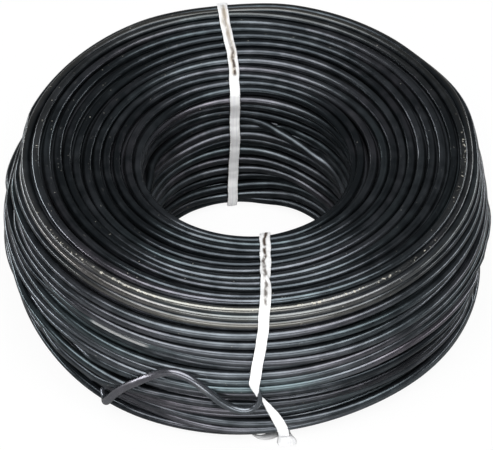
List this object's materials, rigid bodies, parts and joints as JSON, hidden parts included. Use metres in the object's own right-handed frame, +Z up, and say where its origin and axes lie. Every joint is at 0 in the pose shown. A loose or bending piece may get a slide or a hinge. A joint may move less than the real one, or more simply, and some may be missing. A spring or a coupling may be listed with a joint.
{
  "type": "coil of binding wire",
  "caption": "Flat-lying coil of black annealed binding wire, held by narrow white plastic ties, its free end hooked round a tie.",
  "frame": {"origin": "on the floor, at the middle of the coil: the bore's axis is 0.4 mm behind it, because the free end of the wire stands out in front", "axes": "+Z up along the bore; -Y towards the side where the free end of the wire hooks round the front tie; +X to the right seen from that side"},
  "size_m": [0.09, 0.0928, 0.033],
  "materials": {
    "black annealed steel": "matt black oxide from annealing, a little oily, with pale dust on the outer shoulder",
    "white plastic tape": "soft woven plastic tape, smeared brown in places"
  },
  "bodies": {
    "root": {"wire_coil": "black annealed steel", "tie_front": "white plastic tape", "tie_back": "white plastic tape"}
  },
  "joints": []
}
